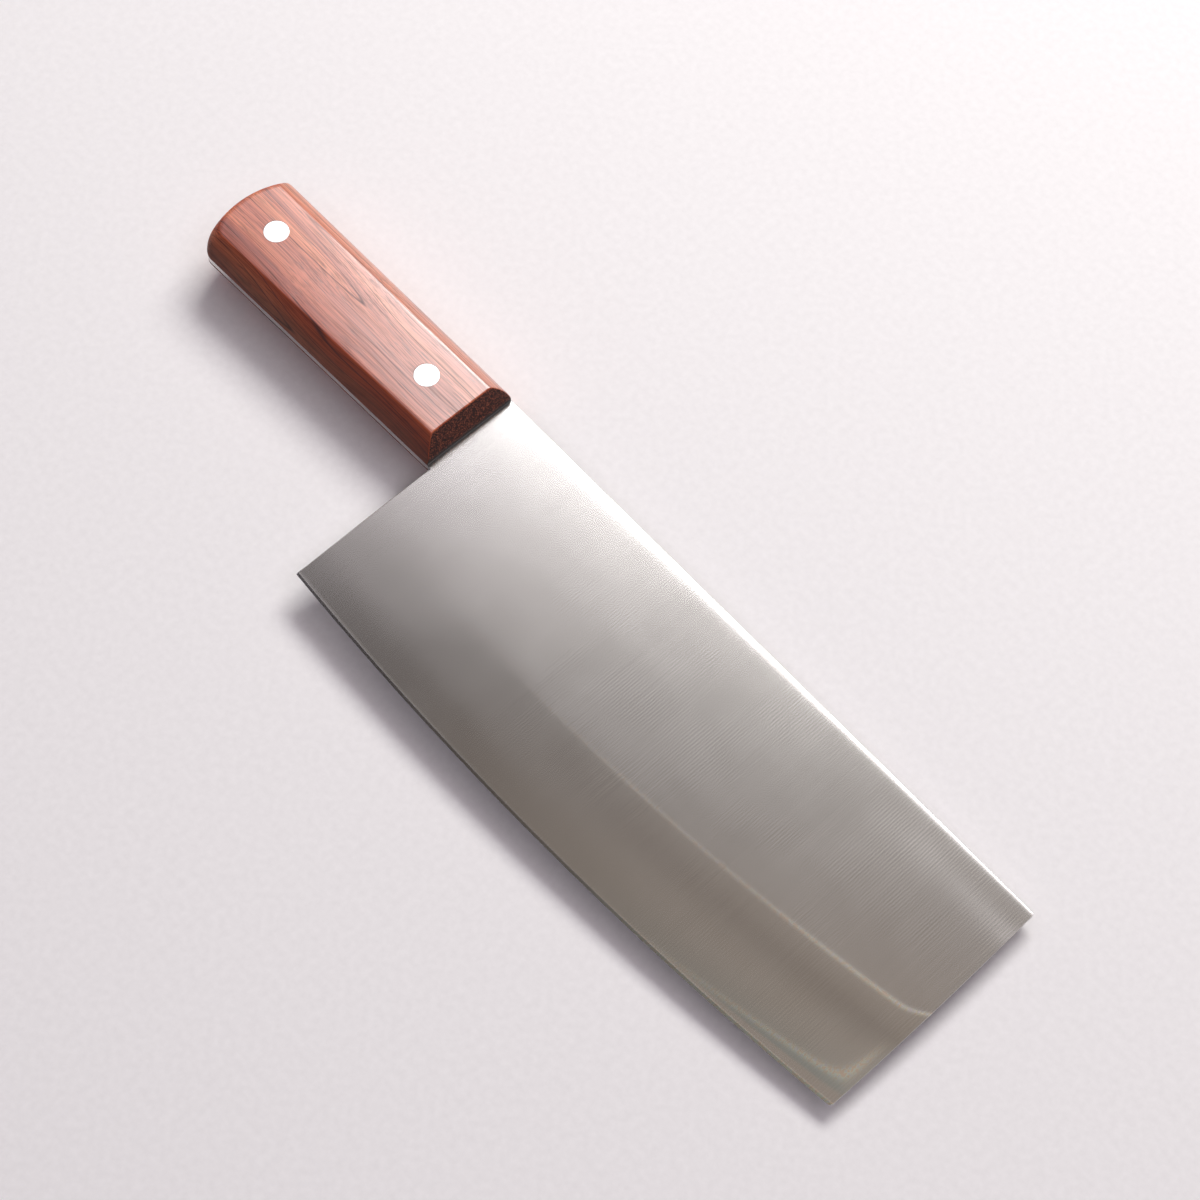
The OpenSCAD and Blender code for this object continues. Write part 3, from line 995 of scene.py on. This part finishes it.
# %% Wood grain
wood_grain, start, end = new_group(
    "wood_grain",
    [("Vector", "NodeSocketVector", None), ("Seed", "NodeSocketVector", (0, 0, 0))],
    [(label, "NodeSocketFloat") for label in ("Tone", "Ring", "Fibre", "Pore")],
)
moved = vectors(wood_grain, "ADD", start["Vector"], start["Seed"])
wander = sums(wood_grain, "SUBTRACT", noise(wood_grain, moved, (14, 30, 30), 1), 0.5)
sway = sums(wood_grain, "MULTIPLY", wander, 0.008)
shift = add(wood_grain, "ShaderNodeCombineXYZ", {"Y": sway, "Z": sway}).outputs[0]
bent = vectors(wood_grain, "ADD", moved, shift)
feed(wood_grain, end, "Tone", noise(wood_grain, bent, (6, 230, 150), 3, 0.55))
growth = sums(wood_grain, "MULTIPLY", noise(wood_grain, bent, (2.5, 75, 50), 1, 0.4), 11)
ring = fade(wood_grain, sums(wood_grain, "PINGPONG", growth, 0.5), 0.0, 0.075, 1.0, 0.0)
patchy = fade(wood_grain, noise(wood_grain, moved, (5, 130, 90), 2), 0.3, 0.55)
feed(wood_grain, end, "Ring", sums(wood_grain, "MULTIPLY", ring, patchy))
feed(wood_grain, end, "Fibre", noise(wood_grain, bent, (24, 2600, 2600), 3, 0.6))
pores = noise(wood_grain, bent, (150, 3200, 3200), 1, 0.4)
feed(wood_grain, end, "Pore", fade(wood_grain, pores, 0.60, 0.72))

# %% Wood material
DEEP_BROWN, RED_BROWN = (0.34, 0.058, 0.030), (0.53, 0.106, 0.048)
WARM_BROWN, PALE_BROWN = (0.67, 0.158, 0.071), (0.82, 0.24, 0.11)
RING_BROWN, PORE_BROWN = (0.12, 0.042, 0.04), (0.06, 0.018, 0.015)
# Painted shade darkens the edge flank, most near the plate, and painted light lightens the spine flank.
EDGE_FLANK_SHADE_LOW, EDGE_FLANK_SHADE_HIGH, SPINE_FLANK_LIGHT = (0.28, 0.31, 0.36), (0.52, 0.44, 0.42), (1.1, 1.3, 1.2)
EDGE_FLANK_SHADE_FADE = (4 * MM, 9.5 * MM)
# Painted shade for the foot of the front face, where it meets the plate.
FOOT_SHADE_FADE = (PLATE / 2 + 1.1 * MM, PLATE / 2 + 1.5 * MM)
FOOT_SHADE = (0.012, 0.008, 0.007)
OIL_ALONG = [to_frame.x + x * MM for x in (-104, -12)]
END_GRAIN = (
    (0.42, (0.018, 0.007, 0.006)), (0.53, (0.065, 0.018, 0.013)), (0.64, (0.38, 0.105, 0.06)),
)


def oiled_wood(name, seed):
    material, tree, shader, place, _ = surface_material(name)
    grain = use_group(tree, wood_grain, {"Vector": place, "Seed": seed})
    smudge = use_group(tree, smudges, {"Vector": place, "Size": (40, 60, 60)})["Smudge"]
    colour = ramp(
        tree, grain["Tone"], (0.32, DEEP_BROWN), (0.43, RED_BROWN), (0.54, WARM_BROWN), (0.70, PALE_BROWN)
    )
    colour = mix(tree, "MIX", sums(tree, "MULTIPLY", grain["Ring"], 0.9), colour, RING_BROWN)
    colour = mix(tree, "MULTIPLY", 0.7, colour, ramp(tree, grain["Fibre"], (0.36, 0.35), (0.58, 1.0)))
    colour = mix(tree, "MIX", sums(tree, "MULTIPLY", grain["Pore"], 0.5), colour, PORE_BROWN)
    normal = add(tree, "ShaderNodeNewGeometry").outputs["Normal"]
    forwards, aside, upwards = add(tree, "ShaderNodeSeparateXYZ", {0: normal}).outputs
    along, _, height = add(tree, "ShaderNodeSeparateXYZ", {0: place}).outputs
    above_plate = sums(tree, "ABSOLUTE", sums(tree, "SUBTRACT", height, to_frame.z))
    # Painted shade: the edge flank is multiplied darker, darkest next to the plate.
    edge_flank_shade = mix(tree, "MIX", fade(tree, above_plate, *EDGE_FLANK_SHADE_FADE), EDGE_FLANK_SHADE_LOW, EDGE_FLANK_SHADE_HIGH)
    colour = mix(tree, "MULTIPLY", fade(tree, aside, -0.9, -0.3, 1.0, 0.0), colour, edge_flank_shade)
    # Painted light: the spine flank is multiplied lighter. The same mask also gives it the oil sheen below.
    spine_flank = fade(tree, aside, 0.25, 0.6)
    colour = mix(tree, "MULTIPLY", spine_flank, colour, SPINE_FLANK_LIGHT)
    end_grain = fade(tree, forwards, 0.75, 0.9)
    # Painted shade: the foot of the front face is painted near black.
    foot_shade = sums(tree, "MULTIPLY", end_grain, fade(tree, above_plate, *FOOT_SHADE_FADE, 1.0, 0.0))
    colour = mix(tree, "MIX", end_grain, colour, ramp(tree, grain["Fibre"], *END_GRAIN))
    feed(tree, shader, "Base Color", mix(tree, "MIX", foot_shade, colour, FOOT_SHADE))
    top = fade(tree, sums(tree, "ABSOLUTE", upwards), 0.8, 0.96)
    polished = sums(tree, "MAXIMUM", top, spine_flank)
    rough = sums(tree, "MULTIPLY_ADD", smudge, 0.04, 0.56)
    feed(tree, shader, "Roughness", sums(tree, "MULTIPLY_ADD", polished, -0.28, rough))
    relief = sums(tree, "MULTIPLY_ADD", grain["Pore"], -0.6, grain["Fibre"])
    bump = add(tree, "ShaderNodeBump", {"Strength": 0.5, "Distance": 0.00008, "Height": relief})
    feed(tree, shader, "Normal", bump.outputs["Normal"])
    oil = fade(tree, along, *OIL_ALONG, 0.6, 1.0)
    dense = fade(tree, grain["Fibre"], 0.36, 0.54, 0.72, 1.0)
    filled = sums(tree, "MULTIPLY_ADD", grain["Ring"], -0.45, dense, clamp=True)
    feed(tree, shader, "Coat Weight", sums(tree, "MULTIPLY", sums(tree, "MULTIPLY", polished, oil), filled))
    shader.inputs["Specular IOR Level"].default_value = 0.25
    shader.inputs["Coat Roughness"].default_value = 0.38
    shader.inputs["Coat IOR"].default_value = 2.65
    return material


for scale, name, seed in (
    (upper_scale, "oiled_wood_upper", (0.0, 0.013, 0.0)),
    (lower_scale, "oiled_wood_lower", (0.31, 0.27, 0.11)),
):
    scale.data.materials.clear()
    scale.data.materials.append(oiled_wood(name, seed))

# %% [markdown]
# ## Rivet metal
# The heads are a soft white metal, ground flush with the wood, so they carry the same fine
# belt lines as the blade but run along the handle, and they stay bright.

# %% Rivets
rivet_metal, tree, shader, place, _ = surface_material("ground_rivet_metal")
_, aside, _ = add(tree, "ShaderNodeSeparateXYZ", {0: place}).outputs
lines = use_group(
    tree, belt_lines, {"Vector": place, "Across": aside, "Fine": (30, 3200, 30), "Coarse": (60, 300, 60)}
)
feed(tree, shader, "Base Color", ramp(tree, lines["Streaks"], (0.3, 0.88), (0.7, 0.95)))
shader.inputs["Metallic"].default_value = 1.0
smudge = use_group(tree, smudges, {"Vector": place, "Size": (300, 300, 300)})["Smudge"]
feed(tree, shader, "Roughness", sums(tree, "MULTIPLY_ADD", smudge, 0.06, 0.4))
bump = add(tree, "ShaderNodeBump", {"Strength": 1.0, "Distance": 0.000003, "Height": lines["Height"]})
feed(tree, shader, "Normal", bump.outputs["Normal"])
for half in rivets.values():
    half.data.materials.clear()
    half.data.materials.append(rivet_metal)

# %% [markdown]
# ## The table
# The knife is heavier at the blade, so it leans on the front edge of its handle with the
# blade a little lower. The table under it is therefore a plane that rises slightly
# towards the tip. It is staging, and not a piece. Its paper has a fine, pale mottle, and
# far away it fades into the evenly pale backdrop, which only the camera and mirroring
# surfaces see.

# %% Table
TABLE_TILT = 1.6
TABLE_SIZE = 6.0
PAPER_FADE = (0.36, 0.8)
BACKDROP = (0.86, 0.83, 0.84)
lower_low, lower_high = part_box("lower_scale")
contact = Vector((lower_high.x - FRONT_LEAN, 0, lower_low.z))
bpy.ops.mesh.primitive_plane_add(size=TABLE_SIZE, location=contact)
table = named(only(bpy.context.active_object), "table")
table.rotation_euler.y = -math.radians(TABLE_TILT)


def seen_directly(tree, mirrored_share):
    """1 for the camera, a share for what mirrors or lets light through, and 0 for the rest."""
    path = add(tree, "ShaderNodeLightPath").outputs
    mirrored = sums(tree, "MAXIMUM", path["Is Glossy Ray"], path["Is Transmission Ray"])
    return sums(tree, "MAXIMUM", path["Is Camera Ray"], sums(tree, "MULTIPLY", mirrored, mirrored_share))


paper, tree, shader, place, _ = surface_material("table_paper")
mottle = noise(tree, place, (420, 420, 420), 4, 0.6)
pulp = ramp(tree, mottle, (0.3, (0.895, 0.859, 0.867)), (0.7, (0.945, 0.909, 0.917)))
away = add(tree, "ShaderNodeVectorMath", {0: place}, operation="LENGTH").outputs["Value"]
far = fade(tree, away, *PAPER_FADE)
feed(tree, shader, "Base Color", mix(tree, "MIX", far, pulp, (0, 0, 0)))
feed(tree, shader, "Emission Color", BACKDROP)
feed(tree, shader, "Emission Strength", sums(tree, "MULTIPLY", far, seen_directly(tree, 1.0)))
shader.inputs["Roughness"].default_value = 0.9
shader.inputs["Specular IOR Level"].default_value = 0.2
table.data.materials.append(paper)

# %% [markdown]
# ## The light
# One large soft lamp stands behind the knife and a little to the right. Its shadow falls
# towards the viewer, and its reflection washes the spine near the handle. The rest of the
# studio is dim, but for one bright band round the ceiling, which is stronger to the right
# and shows in the steel as soft greys. The camera sees the pale backdrop instead, and so
# does metal that mirrors what lies low.

# %% Lamp and studio
BEHIND = PHOTO_AZIMUTH + 180
STUDIO = (
    (0.0, 0.12), (15.3, 0.12), (29.7, 0.03), (45.0, 0.03), (56.0, (1.99, 1.90, 2.15)),
    (62.0, (0.57, 0.50, 0.47)), (68.0, 0.0), (74.0, (0.34, 0.26, 0.2)), (80.0, (0.21, 0.23, 0.22)),
    (90.0, (0.55, 0.5, 0.42)),
)
RIGHT_SIDE = (0.61, 0.69, 0.0, 2.5)
LOW_BAND = (0.27, 0.42, 1.0, 0.0)


def soft_lamp(name, azimuth, elevation, distance, width, height, radiance, tint=(1, 1, 1)):
    """A rectangular lamp that faces the knife. radiance is how bright its face looks."""
    data = bpy.data.lights.new(name, "AREA")
    data.color = tint
    data.shape = "RECTANGLE"
    data.size, data.size_y = width, height
    data.energy = radiance * math.pi * width * height
    lamp = bpy.data.objects.new(name, data)
    scene.collection.objects.link(lamp)
    towards = direction(azimuth, elevation)
    lamp.location = PHOTO_AIM + towards * distance
    lamp.rotation_mode = "QUATERNION"
    lamp.rotation_quaternion = (-towards).to_track_quat("-Z", "Y")
    return lamp


soft_lamp(
    "key_softbox", azimuth=BEHIND - 22, elevation=48, distance=1.4, width=0.9, height=0.48,
    radiance=10.9, tint=(1.0, 1.01, 0.97),
)

world = bpy.data.worlds.new("studio")
scene.world = world
world.use_nodes = True
tree = world.node_tree
tree.nodes.clear()
sky = add(tree, "ShaderNodeTexCoord").outputs["Generated"]
upwards = add(tree, "ShaderNodeSeparateXYZ", {0: sky}).outputs["Z"]
angle = sums(tree, "DIVIDE", sums(tree, "ARCSINE", upwards), math.pi / 2)
studio = ramp(tree, angle, *((degrees / 90, colour) for degrees, colour in STUDIO))
to_right = (math.cos(math.radians(PHOTO_AZIMUTH)), math.sin(math.radians(PHOTO_AZIMUTH)), 0)
rightwards = add(tree, "ShaderNodeVectorMath", {0: sky, 1: to_right}, operation="DOT_PRODUCT")
side = sums(tree, "MULTIPLY_ADD", rightwards.outputs["Value"], fade(tree, angle, *RIGHT_SIDE), 1.0)
light = mix(tree, "MULTIPLY", 1.0, studio, sums(tree, "MAXIMUM", side, 0.0))
seen = seen_directly(tree, fade(tree, angle, *LOW_BAND))
backdrop = mix(tree, "MIX", seen, light, BACKDROP)
glow = add(tree, "ShaderNodeBackground", {"Color": backdrop, "Strength": 1.0})
add(tree, "ShaderNodeOutputWorld", {"Surface": glow.outputs[0]})
scene.view_settings.view_transform = "Standard"
